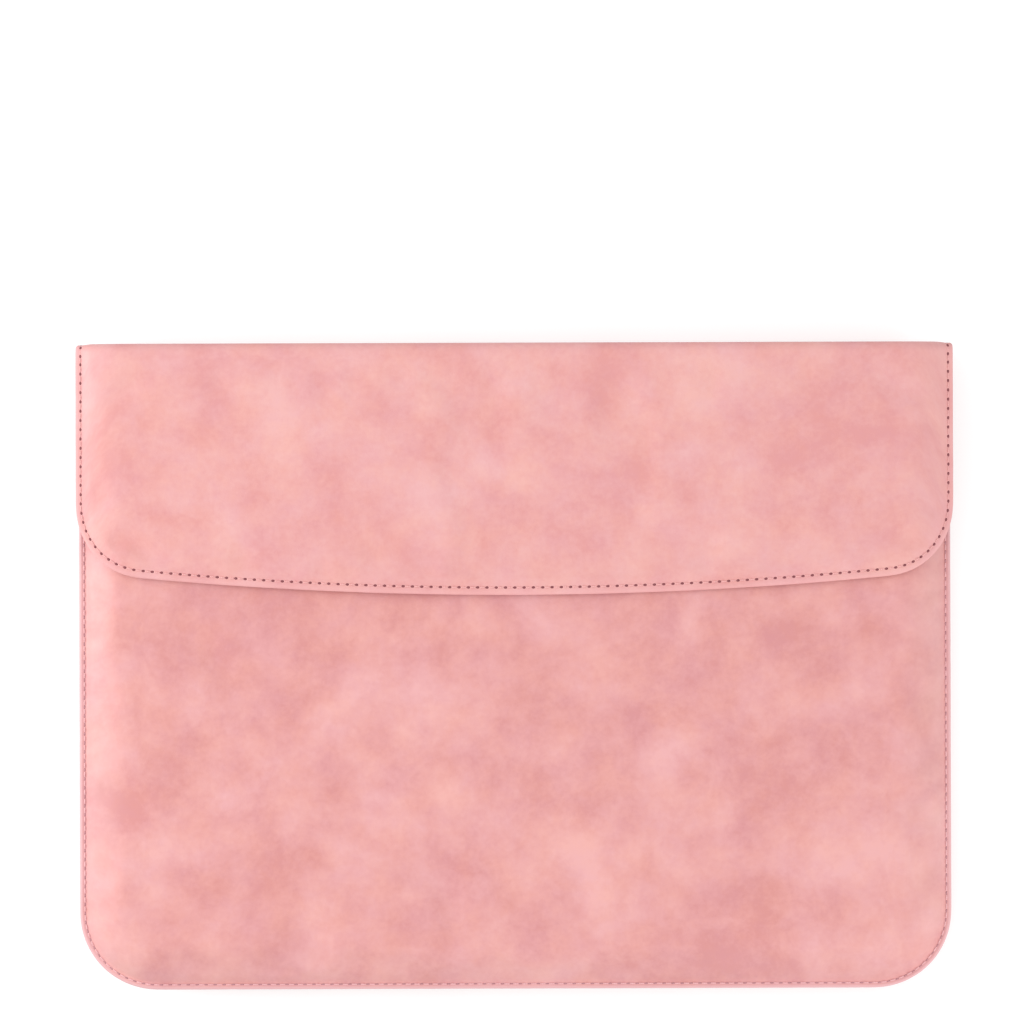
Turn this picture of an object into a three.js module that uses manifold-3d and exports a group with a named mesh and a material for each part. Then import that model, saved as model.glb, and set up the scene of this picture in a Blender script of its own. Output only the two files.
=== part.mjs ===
// Envelope sleeve for a 13-inch laptop, lying on its back with the flap closed.
// Millimetres. X runs across the sleeve, +Y from the bottom seam to the fold, +Z from back to front.
// The origin is under the middle of the sleeve, on the surface that it lies on.

import * as THREE from 'three';
import { mergeVertices } from 'three/addons/utils/BufferGeometryUtils.js';
import Module from 'manifold-3d';

const manifold = await Module();
manifold.setup();

// Body
const WIDTH = 340; // between the outer edges of the side seams
const HEIGHT = 252; // from the edge of the bottom seam to the outside of the fold
const CORNER_RADIUS = 30; // bottom corners
const RIM_WIDTH = 4; // flat sewn edge round the sides and the bottom
const SLOPE_WIDTH = 14; // width over which a panel rises from its rim to its flat face
const SLOPE_ROUNDNESS = 1.7; // 2 is an ellipse, 1 a straight chamfer
const POCKET_DEPTH = 12.5; // clear height inside, front lining to back lining

// Layers
const LEATHER = 1;
const PADDING = 2.2;
const LINING = 0.6;
const GAP = 0.3; // between neighbouring layers
const SEAM_GAP = 0.15; // from the seam plane to each rim
const LINING_LEAD = 4; // how much sooner than the leather a lining reaches its flat face
const PADDING_SHORTFALL = 2; // from the end of the padding to the edge of the mouth

// Flap
const FLAP_DROP = 98; // from the outside of the fold to the edge at mid-width
const FLAP_BOW = 3.3e-4; // rise of that edge per mm squared from mid-width
const FLAP_RADIUS = 28;
const FLAP_LEATHER = 0.8;
const FLAP_BOARD = 1;
const FLAP_CLEARANCE = 1; // from the front panel to the flap's lining
const FLAP_CURL = 4.5; // how far the side edges of the flap bend down
const CURL_WIDTH = 20;

// Fold
const SPINE_LINING = 0.8;
const FOLD_INSET = 1.2; // from the outer faces to each crease's axis
const SPINE_LOW_Z = 3; // lower edge of the spine at mid-width
const SPINE_RISE = 6; // how far that edge rises towards its ends
const PANEL_SHORTFALL = 1; // from where the back and the flap end to each crease's axis

// Closure and thread
const MAGNET_RADIUS = 9;
const MAGNET_DEPTH = 1;
const MAGNET_X = 100;
const MAGNET_FROM_EDGE = 18; // from the middle of the flap's edge
const POCKET_PLAY = 0.4; // round a magnet or a keeper plate in its hole
const THREAD_RADIUS = 0.2;
const SEAM_STITCH_INSET = 1.9;
const FLAP_STITCH_INSET = 3;
const MOUTH_STITCH_INSET = 3;
const THREAD_SHORTFALL = 1; // from the end of a row to the end of its panel

// Places along Y
const BOTTOM_Y = -HEIGHT / 2;
const FOLD_Y = HEIGHT / 2;
const CREASE_Y = FOLD_Y - FOLD_INSET;
const PANEL_END_Y = CREASE_Y - PANEL_SHORTFALL; // where the back and the flap end
const MOUTH_Y = 119;
const FACING_LENGTH = 15; // leather strip inside the mouth
const BELOW_ALL = 2 * BOTTOM_Y; // a place past the bottom seam
const MAGNET_Y = FOLD_Y - FLAP_DROP + MAGNET_FROM_EDGE;

// Heights
const WALL = LEATHER + GAP + PADDING + GAP + LINING;
const BODY_DEPTH = POCKET_DEPTH + 2 * WALL;
const SEAM_Z = BODY_DEPTH / 2;
const HALF_DEPTH = BODY_DEPTH / 2;
const FLAP_BOTTOM_Z = BODY_DEPTH + FLAP_CLEARANCE;
const FLAP_TOP_Z = FLAP_BOTTOM_Z + LINING + GAP + FLAP_BOARD + GAP + FLAP_LEATHER;

// Facets
const CORNER_STEPS = 7;
const SLOPE_STEPS = 6;
const BOW_STEPS = 10;
const SPINE_END_STEPS = 5;
const THREAD_STEPS = 100;
const THREAD_SIDE_STEPS = 3;
const DISC_SIDES = 24;
const HOLE_SIDES = 32;

const leather = new THREE.MeshStandardMaterial({ color: 0xeea9a7, roughness: 0.75 });
const liningCloth = new THREE.MeshStandardMaterial({ color: 0xc98f93, roughness: 0.95 });
const foam = new THREE.MeshStandardMaterial({ color: 0xe9e4da, roughness: 0.9 });
const board = new THREE.MeshStandardMaterial({ color: 0x55524f, roughness: 0.7 });
const steel = new THREE.MeshStandardMaterial({ color: 0xb8babd, roughness: 0.3, metalness: 1 });
const thread = new THREE.MeshStandardMaterial({ color: 0xd98f92, roughness: 0.8 });

const sleeve = new THREE.Group();

function addMesh(name, geometry, material) {
  const mesh = new THREE.Mesh(geometry, material);
  mesh.name = name;
  sleeve.add(mesh);
  return mesh;
}

// Booleans

function toSolid(geometry) {
  const bare = geometry.clone();
  bare.deleteAttribute('normal');
  bare.deleteAttribute('uv');
  const merged = mergeVertices(bare, 1e-4);
  return new manifold.Manifold(new manifold.Mesh({
    numProp: 3,
    vertProperties: new Float32Array(merged.attributes.position.array),
    triVerts: new Uint32Array(merged.index.array),
  }));
}

function toGeometry(solid) {
  const { vertProperties, triVerts } = solid.getMesh();
  const geometry = new THREE.BufferGeometry();
  geometry.setAttribute('position', new THREE.BufferAttribute(new Float32Array(vertProperties), 3));
  geometry.setIndex(new THREE.BufferAttribute(new Uint32Array(triVerts), 1));
  geometry.computeVertexNormals();
  return geometry;
}

// The part of a geometry between two places along Y.
function keepBetween(geometry, lowY, highY) {
  const block = new THREE.BoxGeometry(2 * WIDTH, highY - lowY, 8 * BODY_DEPTH);
  block.translate(0, (lowY + highY) / 2, 0);
  return toGeometry(toSolid(geometry).intersect(toSolid(block)));
}

function drillDiscs(geometry, radius, centres) {
  let solid = toSolid(geometry);
  for (const [x, y, z] of centres) {
    const drill = new THREE.CylinderGeometry(radius, radius, 4 * MAGNET_DEPTH, HOLE_SIDES);
    drill.rotateX(Math.PI / 2);
    drill.translate(x, y, z);
    solid = solid.subtract(toSolid(drill));
  }
  return toGeometry(solid);
}

// Solids made from cross-sections

// Joins loops of equal length into one closed body. A loop is a list of [x, y, z], counter-clockwise
// when seen from the side that the next loop lies on. The end loops are closed by fans.
function loft(loops) {
  const count = loops[0].length;
  const positions = loops.flat(2);
  const indices = [];
  for (let ring = 0; ring < loops.length - 1; ring++) {
    for (let i = 0; i < count; i++) {
      const next = (i + 1) % count;
      const [a, b] = [ring * count + i, ring * count + next];
      indices.push(a, b, b + count, a, b + count, a + count);
    }
  }
  const ends = [{ loop: loops[0], first: 0, flip: true }];
  ends.push({ loop: loops.at(-1), first: (loops.length - 1) * count, flip: false });
  for (const { loop, first, flip } of ends) {
    const middle = positions.length / 3;
    for (const axis of [0, 1, 2]) {
      positions.push(loop.reduce((sum, point) => sum + point[axis], 0) / count);
    }
    for (let i = 0; i < count; i++) {
      const [a, b] = [first + i, first + (i + 1) % count];
      indices.push(middle, ...(flip ? [b, a] : [a, b]));
    }
  }
  const geometry = new THREE.BufferGeometry();
  geometry.setAttribute('position', new THREE.Float32BufferAttribute(positions, 3));
  geometry.setIndex(indices);
  geometry.computeVertexNormals();
  return geometry;
}

// The body's outline, an inset inside it, at one height. It runs on past the fold, where a cut ends it.
function outlineLoop(inset, z) {
  const halfWidth = WIDTH / 2 - inset;
  const radius = CORNER_RADIUS - inset;
  const lowY = BOTTOM_Y + inset;
  const highY = FOLD_Y + CORNER_RADIUS + SLOPE_WIDTH;
  const corners = [
    { x: halfWidth - radius, y: lowY + radius, turn: -Math.PI / 2 },
    { x: halfWidth - radius, y: highY - radius, turn: 0 },
    { x: radius - halfWidth, y: highY - radius, turn: Math.PI / 2 },
    { x: radius - halfWidth, y: lowY + radius, turn: Math.PI },
  ];
  const loop = [];
  for (const { x, y, turn } of corners) {
    for (let i = 0; i <= CORNER_STEPS; i++) {
      const angle = turn + (i / CORNER_STEPS) * (Math.PI / 2);
      loop.push([x + radius * Math.cos(angle), y + radius * Math.sin(angle), z]);
    }
  }
  return loop;
}

// [inset, height above the seam plane] up the rounded slope of a panel.
function slopeProfile(startInset, endInset, topHeight) {
  const points = [];
  for (let i = 0; i <= SLOPE_STEPS; i++) {
    const angle = (i / SLOPE_STEPS) * (Math.PI / 2);
    const across = 1 - Math.cos(angle) ** (2 / SLOPE_ROUNDNESS);
    const up = Math.sin(angle) ** (2 / SLOPE_ROUNDNESS);
    points.push([
      startInset + (endInset - startInset) * across,
      SEAM_GAP + (topHeight - SEAM_GAP) * up,
    ]);
  }
  return points;
}

// A dished panel: the side that faces the pocket, then the outer side. Mirrored, it is a back panel.
function dish(inner, outer, isBack) {
  const profile = [...inner.toReversed(), ...outer];
  if (isBack) {
    return loft(profile.toReversed().map(([inset, up]) => outlineLoop(inset, SEAM_Z - up)));
  }
  return loft(profile.map(([inset, up]) => outlineLoop(inset, SEAM_Z + up)));
}

function leatherDish(isBack) {
  const plateau = RIM_WIDTH + SLOPE_WIDTH;
  const inner = [[0, SEAM_GAP], ...slopeProfile(RIM_WIDTH + LEATHER, plateau, HALF_DEPTH - LEATHER)];
  const rim = [0, SEAM_GAP + LEATHER];
  const slope = slopeProfile(RIM_WIDTH, plateau, HALF_DEPTH)
    .map(([inset, up]) => [inset, Math.max(up, SEAM_GAP + LEATHER)]);
  return dish(inner, [rim, ...slope], isBack);
}

function liningDish(isBack) {
  const start = RIM_WIDTH + LEATHER + 2 * GAP;
  const end = RIM_WIDTH + SLOPE_WIDTH - LINING_LEAD;
  const top = POCKET_DEPTH / 2;
  const inner = slopeProfile(start + LINING, end + LINING, top);
  const outer = slopeProfile(start, end, top + LINING);
  return dish(inner, outer, isBack);
}

// A flat slab of padding with the body's bottom corners, between two heights.
function paddingSlab(lowZ, highZ, endY) {
  const inset = RIM_WIDTH + SLOPE_WIDTH;
  return keepBetween(loft([outlineLoop(inset, lowZ), outlineLoop(inset, highZ)]), BELOW_ALL, endY);
}

// A strip that spans the sleeve, from sections [x, low y, high y, low z, high z] in order of x.
function strip(sections) {
  return loft(sections.map(([x, lowY, highY, lowZ, highZ]) => [
    [x, lowY, lowZ], [x, highY, lowZ], [x, highY, highZ], [x, lowY, highZ],
  ]));
}

// How far the flap's side edges bend down at x.
function curl(x, depth = FLAP_CURL) {
  const past = Math.max(0, Math.abs(x) - (WIDTH / 2 - CURL_WIDTH)) / CURL_WIDTH;
  return depth * past ** 2;
}

// Flap outline: a shallow bow between two rounded corners, an inset inside the cut edge.
function flapOutline(inset) {
  const cornerX = WIDTH / 2 - FLAP_RADIUS;
  const tilt = Math.atan(2 * FLAP_BOW * cornerX); // of the bow where the corner starts
  const bowEndX = cornerX + FLAP_RADIUS * Math.sin(tilt);
  const cornerY = FOLD_Y - FLAP_DROP + FLAP_BOW * bowEndX ** 2 + FLAP_RADIUS * Math.cos(tilt);
  const radius = FLAP_RADIUS - inset;
  const right = [];
  for (let i = 0; i < BOW_STEPS; i++) {
    const x = (i / BOW_STEPS) * cornerX;
    right.push([x, FOLD_Y - FLAP_DROP + inset + FLAP_BOW * x ** 2]);
  }
  for (let i = 0; i <= 2 * CORNER_STEPS; i++) {
    const angle = tilt + (i / (2 * CORNER_STEPS)) * (Math.PI / 2 - tilt);
    right.push([cornerX + radius * Math.sin(angle), cornerY - radius * Math.cos(angle)]);
  }
  const left = right.slice(1).map(([x, y]) => [-x, y]).toReversed();
  return [...left, ...right];
}

function flapSheet(inset, endY, lowZ, depth) {
  return strip(flapOutline(inset).map(([x, y]) => {
    const z = lowZ - curl(x);
    return [x, y, endY, z, z + depth];
  }));
}

// A round thread along a list of points, with flat ends.
function threadAlong(points, steps = THREAD_STEPS) {
  const path = new THREE.CurvePath();
  for (let i = 1; i < points.length; i++) {
    path.add(new THREE.LineCurve3(points[i - 1], points[i]));
  }
  const section = new THREE.Shape();
  section.absarc(0, 0, THREAD_RADIUS, 0, 2 * Math.PI);
  const curveSegments = THREAD_SIDE_STEPS;
  return new THREE.ExtrudeGeometry(section, { steps, extrudePath: path, curveSegments });
}

// Sub-parts of the body

function addPanels() {
  addMesh('back_panel', keepBetween(leatherDish(true), BELOW_ALL, PANEL_END_Y), leather);
  addMesh('front_panel', keepBetween(leatherDish(false), BELOW_ALL, MOUTH_Y), leather);
  addMesh('back_lining', keepBetween(liningDish(true), BELOW_ALL, PANEL_END_Y - GAP), liningCloth);
  const facingY = MOUTH_Y - FACING_LENGTH;
  const frontLining = keepBetween(liningDish(false), BELOW_ALL, facingY - GAP);
  addMesh('front_lining', frontLining, liningCloth);
  addMesh('mouth_facing', keepBetween(liningDish(false), facingY, MOUTH_Y), leather);
}

function addPaddingAndKeepers() {
  const inside = LEATHER + GAP;
  const endY = MOUTH_Y - PADDING_SHORTFALL;
  addMesh('back_padding', paddingSlab(inside, inside + PADDING, endY), foam);
  const topZ = BODY_DEPTH - inside;
  const centres = [-MAGNET_X, MAGNET_X].map((x) => [x, MAGNET_Y, topZ - PADDING / 2]);
  const slab = paddingSlab(topZ - PADDING, topZ, endY);
  addMesh('front_padding', drillDiscs(slab, MAGNET_RADIUS + POCKET_PLAY, centres), foam);
  addDiscs('keeper', centres);
}

// Magnets or keeper plates, left and right.
function addDiscs(name, centres) {
  for (const [index, side] of ['left', 'right'].entries()) {
    const disc = new THREE.CylinderGeometry(MAGNET_RADIUS, MAGNET_RADIUS, MAGNET_DEPTH, DISC_SIDES);
    const mesh = addMesh(`${name}_${side}`, disc, steel);
    mesh.position.set(...centres[index]);
    mesh.rotation.x = Math.PI / 2;
  }
}

function addSeamThreads() {
  const away = SEAM_GAP + LEATHER + GAP + THREAD_RADIUS;
  const cornerPoints = CORNER_STEPS + 1;
  for (const [name, z] of [['front_seam_thread', SEAM_Z + away], ['back_seam_thread', SEAM_Z - away]]) {
    const loop = outlineLoop(SEAM_STITCH_INSET, z);
    const route = [...loop.slice(-cornerPoints), ...loop.slice(0, cornerPoints)];
    const endY = MOUTH_Y - THREAD_SHORTFALL;
    const sideX = WIDTH / 2 - SEAM_STITCH_INSET;
    const points = [[-sideX, endY, z], ...route, [sideX, endY, z]];
    addMesh(name, threadAlong(points.map((point) => new THREE.Vector3(...point))), thread);
  }
}

function addMouthThread() {
  const z = BODY_DEPTH + GAP + THREAD_RADIUS;
  const y = MOUTH_Y - MOUTH_STITCH_INSET;
  const halfLength = WIDTH / 2 - RIM_WIDTH - SLOPE_WIDTH;
  const ends = [new THREE.Vector3(-halfLength, y, z), new THREE.Vector3(halfLength, y, z)];
  addMesh('mouth_thread', threadAlong(ends, 1), thread);
}

// Sub-parts of the fold and the flap

// The spine's strip between two depths in from the fold's outside. Its ends narrow as the body does.
function spineStrip(outside, depth) {
  const highZ = FLAP_BOTTOM_Z - GAP;
  const sections = [];
  const flatEnd = WIDTH / 2 - CURL_WIDTH;
  for (const side of [-1, 1]) {
    for (let i = 0; i <= SPINE_END_STEPS; i++) {
      const x = side * (flatEnd + (i / SPINE_END_STEPS) * CURL_WIDTH);
      const y = FOLD_Y - outside;
      sections.push([x, y - depth, y, SPINE_LOW_Z + curl(x, SPINE_RISE), highZ - curl(x)]);
    }
  }
  return strip(sections.sort((a, b) => a[0] - b[0]));
}

function addSpine() {
  addMesh('spine_panel', spineStrip(0, LEATHER), leather);
  addMesh('spine_lining', spineStrip(LEATHER + GAP, SPINE_LINING), liningCloth);
}

function addFlap() {
  const liningInset = 1;
  const boardInset = 6;
  const boardZ = FLAP_BOTTOM_Z + LINING + GAP;
  const leatherZ = FLAP_TOP_Z - FLAP_LEATHER;
  addMesh('flap_lining', flapSheet(liningInset, PANEL_END_Y, FLAP_BOTTOM_Z, LINING), liningCloth);
  addMesh('flap_panel', flapSheet(0, PANEL_END_Y, leatherZ, FLAP_LEATHER), leather);
  const centres = [-MAGNET_X, MAGNET_X].map((x) => [x, MAGNET_Y, boardZ + FLAP_BOARD / 2]);
  const sheet = flapSheet(boardInset, PANEL_END_Y - boardInset, boardZ, FLAP_BOARD);
  addMesh('flap_board', drillDiscs(sheet, MAGNET_RADIUS + POCKET_PLAY, centres), board);
  addDiscs('flap_magnet', centres);
  const lift = GAP + THREAD_RADIUS;
  const row = flapOutline(FLAP_STITCH_INSET);
  const endY = PANEL_END_Y - THREAD_SHORTFALL;
  const route = [[row[0][0], endY], ...row, [row.at(-1)[0], endY]]
    .map(([x, y]) => new THREE.Vector3(x, y, FLAP_TOP_Z + lift - curl(x)));
  addMesh('flap_thread', threadAlong(route), thread);
}

addPanels();
addPaddingAndKeepers();
addSeamThreads();
addMouthThread();
addSpine();
addFlap();

export default sleeve;
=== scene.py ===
"""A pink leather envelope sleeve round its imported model: soft pieces, stitching, materials, lights, camera.

Metres. X runs across the sleeve, +Y from the bottom seam to the fold, +Z from back to front.
A cover or lining is drawn first as a flat pattern, with X across it and V up it. V equals Y as far as the
fold and runs on round the fold, along the leather. The pattern is then placed in space."""

import math

import bmesh
import bpy
import numpy as np
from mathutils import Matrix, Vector, bvhtree, interpolate, noise


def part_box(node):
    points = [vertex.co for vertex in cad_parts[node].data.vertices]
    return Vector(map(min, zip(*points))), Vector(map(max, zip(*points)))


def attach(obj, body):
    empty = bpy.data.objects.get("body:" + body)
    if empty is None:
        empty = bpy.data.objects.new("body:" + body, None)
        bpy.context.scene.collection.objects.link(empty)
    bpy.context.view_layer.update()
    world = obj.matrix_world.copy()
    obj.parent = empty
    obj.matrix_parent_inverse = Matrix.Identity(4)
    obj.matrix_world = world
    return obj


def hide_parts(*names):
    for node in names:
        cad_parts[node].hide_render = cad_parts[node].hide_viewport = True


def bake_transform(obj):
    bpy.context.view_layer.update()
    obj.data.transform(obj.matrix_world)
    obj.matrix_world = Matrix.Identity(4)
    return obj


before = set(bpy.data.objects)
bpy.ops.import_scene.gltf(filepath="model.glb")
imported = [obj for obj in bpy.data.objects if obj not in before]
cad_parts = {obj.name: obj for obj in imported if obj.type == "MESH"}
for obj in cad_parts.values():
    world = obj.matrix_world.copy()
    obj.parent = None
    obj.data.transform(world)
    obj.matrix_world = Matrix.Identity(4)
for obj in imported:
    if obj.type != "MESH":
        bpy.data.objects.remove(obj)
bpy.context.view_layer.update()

MM = 0.001

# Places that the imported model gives
NODE_GAP = 0.3 * MM  # between its touching solids
FOLD_ROOM = 0.4 * MM  # that the leather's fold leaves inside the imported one
HALF_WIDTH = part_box("back_panel")[1].x
BOTTOM_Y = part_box("back_panel")[0].y
FOLD_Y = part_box("spine_panel")[1].y - FOLD_ROOM
MOUTH_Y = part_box("front_panel")[1].y
BODY_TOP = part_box("front_panel")[1].z
FLAP_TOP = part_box("flap_panel")[1].z
FLAP_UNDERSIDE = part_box("spine_lining")[1].z + NODE_GAP
FLAP_EDGE_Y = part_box("flap_panel")[0].y
FACING_END_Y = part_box("mouth_facing")[0].y
SEAM_Z = BODY_TOP / 2

# Outline and section of the body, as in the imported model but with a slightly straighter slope
CORNER_RADIUS = 30 * MM
RIM_WIDTH = 4 * MM
SLOPE_WIDTH = 14 * MM
SLOPE_OVERLAP = 1 * MM  # how far the slope's foot starts under the rim
SLOPE_ROUNDNESS = 1.5  # 2 is an ellipse, 1 a straight chamfer
SEAM_GAP = 0.15 * MM  # from the seam plane to each rim
LEATHER = 1 * MM
LINING = 0.6 * MM
BODY_EDGE_ROUNDING = 0.8 * MM
FLAP_EDGE_ROUNDING = 0.6 * MM  # and that of the spine's ends

# The flap
FLAP_BOW = 0.33  # rise of the flap's edge per metre squared from mid-width
FLAP_RADIUS = 28 * MM
FLAP_LEATHER = 0.8 * MM
FLAP_CURL = 4.5 * MM  # how far its side edges bend down
CURL_WIDTH = 20 * MM

# The linings
LINING_INSET = 6.2 * MM  # of the pocket's face of each lining
LINING_SLOPE = 8.4 * MM
POCKET_HALF = 6.25 * MM
FREE_INSET = 1 * MM  # of the linings past the mouth and under the flap
FREE_START = 1 * MM  # before the mouth, where the back's lining starts to widen
FREE_RUN = 5 * MM
RIM_LIFT = 0.65 * MM  # of the back's lining over the rim
RIM_LIFT_WIDTH = 5 * MM
RIM_LIFT_RUN = 3 * MM
FACING_SIDE_GAP = 0.4 * MM

# Layers that come together: at their sewn sides, and towards the sewn edge of the mouth
SEWN_WIDTH = 3 * MM
PARTING_RUN = 3.3 * MM
FLAP_CLOSING = 0.75 * MM  # of each layer of the flap
FOLD_CLOSING = 0.28 * MM  # of each layer of the spine
PINCH_REACH = 11 * MM
PINCH_RUN = 8 * MM
PINCH_SIDE_RUN = 12 * MM
COVER_PINCH = 1.3 * MM
FACING_PINCH = 1.35 * MM

# The fold
FOLD_RADIUS = 4 * MM
LINING_FOLD_DEPTH = 2 * MM  # of the linings' fold inside the leather's
LINING_FOLD_Y = FOLD_Y - LINING_FOLD_DEPTH
LINING_FOLD_RADIUS = 1.6 * MM
SHORTEST_RUN = 0.3 * MM  # of the upright part of a layer
BLEND_LOW_Y = FOLD_Y - FOLD_RADIUS

# Padding
PAD_END_Y = MOUTH_Y - 13 * MM
PAD_ROOM = 0.35 * MM  # above each pad
PAD_THINNING = 0.5 * MM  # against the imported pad
PAD_EDGE_DROP = 0.7 * MM
PAD_EDGE_WIDTH = 2.5 * MM
KEEPER_PLAY = 0.4 * MM
CUTTER_DEPTH = 12 * MM  # more than a pad's thickness

# Stitching
SEAM_STITCH_INSET = 2 * MM
FLAP_STITCH_INSET = 2.85 * MM
FLAP_SIDE_STITCH_INSET = 2 * MM
MOUTH_STITCH_INSET = 3 * MM
SEAM_PITCH = 3.5 * MM
FLAP_PITCH = 3.6 * MM
SEAM_HOLE = (1.45 * MM, 0.65 * MM)  # along the row and across it
FLAP_HOLE = (1.3 * MM, 1.0 * MM)
MOUTH_HOLE = (1.15 * MM, 0.7 * MM)
HOLE_SIDES = 10
HOLE_LIP = 0.07 * MM
HOLE_DISH = 0.03 * MM
HOLE_DEPTH = 0.35 * MM
THREAD_RADIUS = 0.25 * MM
THREAD_SIDES = 8
THREAD_PROFILE = (  # share of the way between two holes, height over the leather, share of the radius
    (0.18, -0.2 * MM, 0.7), (0.25, -0.02 * MM, 1), (0.38, 0.06 * MM, 1.15), (0.5, 0.08 * MM, 1.2),
    (0.62, 0.06 * MM, 1.15), (0.75, -0.02 * MM, 1), (0.82, -0.2 * MM, 0.7),
)
ROW_PAST_BEND = 0.4 * MM  # how far the rows run on, on to the upright part of the spine
ROW_TO_MOUTH = 1.5 * MM  # from the end of the front's row to the edge of the mouth

# What the sewing and the padding do to a cover's face
GROOVE_DEPTH = 0.18 * MM
GROOVE_WIDTH = 0.9 * MM
PUCKER_DEPTH = 0.2 * MM
PUCKER_LENGTH = 6 * MM
PUCKER_INSET = 4 * MM
PUCKER_WIDTH = 3.5 * MM
BROAD_WAVE = 55 * MM
SMALL_WAVE = 19 * MM
SMALL_WAVE_SHARE = 0.3
WAVE_START = 3 * MM  # from the edge
WAVE_RUN = 20 * MM
CALM_FOLD = 3 * MM  # before the bend, where puckers and waves have faded out
CALM_RUN = 12 * MM

# Where a cover is held in the simulation, and over what distance it comes loose
HELD_WIDTH = 3.5 * MM
LOOSE_RUN = 5 * MM
LOOSE_END_RUN = 10 * MM
MOUTH_HELD = 9 * MM  # held width of the front's leather at the mouth
FOLD_HELD = 4 * MM  # and of the flap's leather before the bend
CLOTH_STEPS = 20

# Where the leather is lighter at its edge, and where it is worn shiny from rubbing and painted lighter, a
# painted highlight on the padded slopes
RIM_TONE_START = 0.3 * MM
WEAR_AND_HIGHLIGHT_START = 1.5 * MM
WEAR_AND_HIGHLIGHT_RISE = 2 * MM
WEAR_AND_HIGHLIGHT_FADE_START = 4 * MM
WEAR_AND_HIGHLIGHT_FADE = 20 * MM
# The lower edge gets a smaller share: the painted highlight is weaker there, where less light falls
BOTTOM_WEAR_AND_HIGHLIGHT = 0.25  # share of the rub that the lower edge gets

# Meshes
PITCH = 3.6 * MM
COARSE_PITCH = 7 * MM
RINGS = [MM * ring for ring in (0, 0.5, 1.2, 2, 2.8, 3.6, 4.6, 5.8, 7.4, 9.4, 11.8, 14.6, 18, 22)]
FOLD_STEPS = 5
SPINE_STEPS = 4
OUTLINE_STEPS = 60
FACING_COLUMNS = 90
FACING_ROWS = 8
WELD = 0.01 * MM


def smooth_step(value):
    share = np.clip(value, 0, 1)
    return share * share * (3 - 2 * share)


def ridge(distance, width):
    """1 at a line, fading towards 0 on both sides of it."""
    return np.exp(-((distance / width) ** 2))


# Meshes of pieces


def add_grid(drawing, rows, flip=False):
    """Fills the space between rows of flat points with faces."""
    lines = [[drawing.verts.new((x, v, 0)) for x, v in row] for row in rows]
    for low, high in zip(lines, lines[1:]):
        for a, b, c, d in zip(low, low[1:], high[1:], high):
            drawing.faces.new((d, c, b, a) if flip else (a, b, c, d))


def show(mesh):
    """Puts a mesh into the scene as a piece of the same name."""
    piece = bpy.data.objects.new(mesh.name, mesh)
    bpy.context.scene.collection.objects.link(piece)
    return piece


def show_drawing(drawing, name):
    mesh = bpy.data.meshes.new(name)
    drawing.to_mesh(mesh)
    drawing.free()
    return show(mesh)


def coordinates(piece):
    values = np.zeros(3 * len(piece.data.vertices), np.float32)
    piece.data.vertices.foreach_get("co", values)
    return values.reshape(-1, 3).astype(float)


def set_coordinates(piece, points):
    piece.data.vertices.foreach_set("co", points.astype(np.float32).ravel())
    piece.data.update()


def normals(piece):
    values = np.zeros(3 * len(piece.data.vertices), np.float32)
    piece.data.vertex_normals.foreach_get("vector", values)
    return values.reshape(-1, 3).astype(float)


def store(piece, name, values):
    """Keeps a number or a vector for each vertex under a name."""
    kind, key = ("FLOAT", "value") if values.ndim == 1 else ("FLOAT_VECTOR", "vector")
    attribute = piece.data.attributes.get(name) or piece.data.attributes.new(name, kind, "POINT")
    attribute.data.foreach_set(key, values.astype(np.float32).ravel())


def stored(piece, name):
    """The vectors that are kept under a name."""
    values = np.zeros(3 * len(piece.data.vertices), np.float32)
    piece.data.attributes[name].data.foreach_get("vector", values)
    return values.reshape(-1, 3).astype(float)


def store_grain(piece, part, whole_v=None):
    """Keeps where each vertex lies on the hide that it was cut from, for the material.

    Pieces with the same part are cut from one hide, and whole_v gives a piece's place on it."""
    flat = stored(piece, "flat")
    if whole_v is not None:
        flat[:, 1] = whole_v(flat[:, 0], flat[:, 1])
    flat[:, 2] = part
    store(piece, "grain", flat)


def bake(piece):
    """Makes the piece's modifiers part of its mesh."""
    graph = bpy.context.evaluated_depsgraph_get()
    mesh = bpy.data.meshes.new_from_object(piece.evaluated_get(graph))
    piece.modifiers.clear()
    piece.data = mesh


def place(piece, position, flip=False):
    """Moves a drawn pattern to its place in space and keeps the flat pattern with it."""
    flat = coordinates(piece)
    store(piece, "flat", flat)
    set_coordinates(piece, np.stack(position(flat[:, 0], flat[:, 1]), axis=1))
    if flip:
        piece.data.flip_normals()


def refine(piece):
    """One smooth subdivision."""
    piece.modifiers.new("smooth", "SUBSURF").levels = 1
    piece.data.shade_smooth()
    bake(piece)
    piece.data.shade_smooth()


def push(piece, distance):
    """Moves each vertex outwards by its distance."""
    set_coordinates(piece, coordinates(piece) + normals(piece) * distance[:, None])


def sharpen_boundary(piece):
    """Keeps the shading of the cut edge apart from that of the face."""
    mesh = bmesh.new()
    mesh.from_mesh(piece.data)
    for edge in mesh.edges:
        edge.smooth = not edge.is_boundary
    mesh.to_mesh(piece.data)
    mesh.free()


def thicken(piece, thickness):
    """Gives a sheet its thickness, behind the side that its faces look to."""
    solid = piece.modifiers.new("thickness", "SOLIDIFY")
    solid.thickness = thickness
    solid.offset = -1
    solid.use_even_offset = False


def uneven(points, size, seed):
    """Smooth noise from about -1 to 1 at each point, with bumps of a size."""
    return np.array([noise.noise(Vector(point) / size + Vector((seed, 0, 0))) for point in points])


# Flat patterns


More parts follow.
